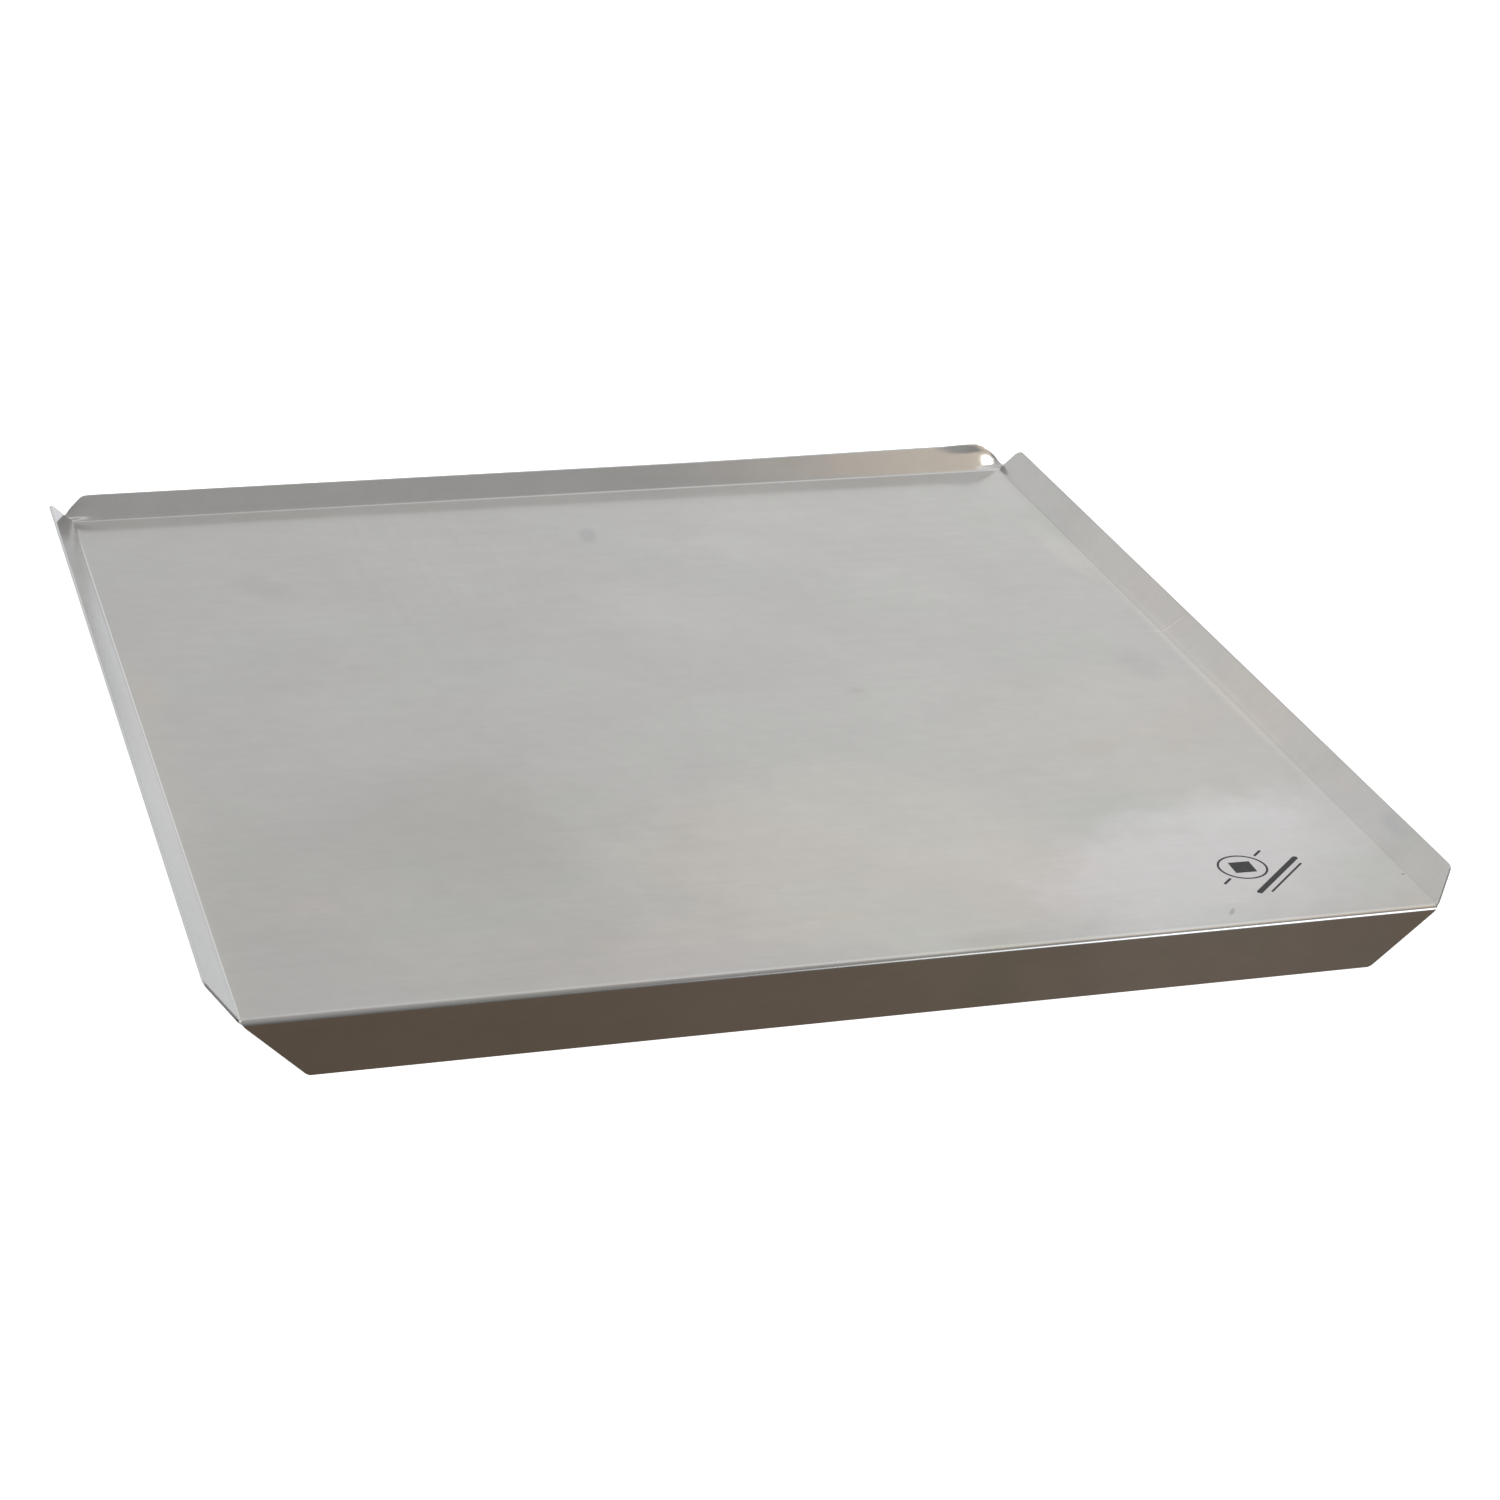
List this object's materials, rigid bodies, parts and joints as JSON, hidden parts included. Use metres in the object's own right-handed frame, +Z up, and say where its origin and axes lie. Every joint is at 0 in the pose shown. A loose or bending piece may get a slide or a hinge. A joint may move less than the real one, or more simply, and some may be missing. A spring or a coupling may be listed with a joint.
{
  "type": "folded sheet-metal tray",
  "caption": "Flat stainless steel sheet tray with low sloping rims at its back and sides, a deeper lip folded down along its front edge, and diagonally cut corners.",
  "frame": {"origin": "middle of the panel's flat underside", "axes": "+X to the right along the front lip, +Y from the front lip towards the back rim, +Z up out of the tray, square to the panel"},
  "size_m": [0.4806, 0.491, 0.0357],
  "materials": {
    "sheet": "satin mill-finish stainless steel, with faint rolling streaks along the width"
  },
  "bodies": {
    "root": {"tray_sheet": "sheet"}
  },
  "joints": []
}
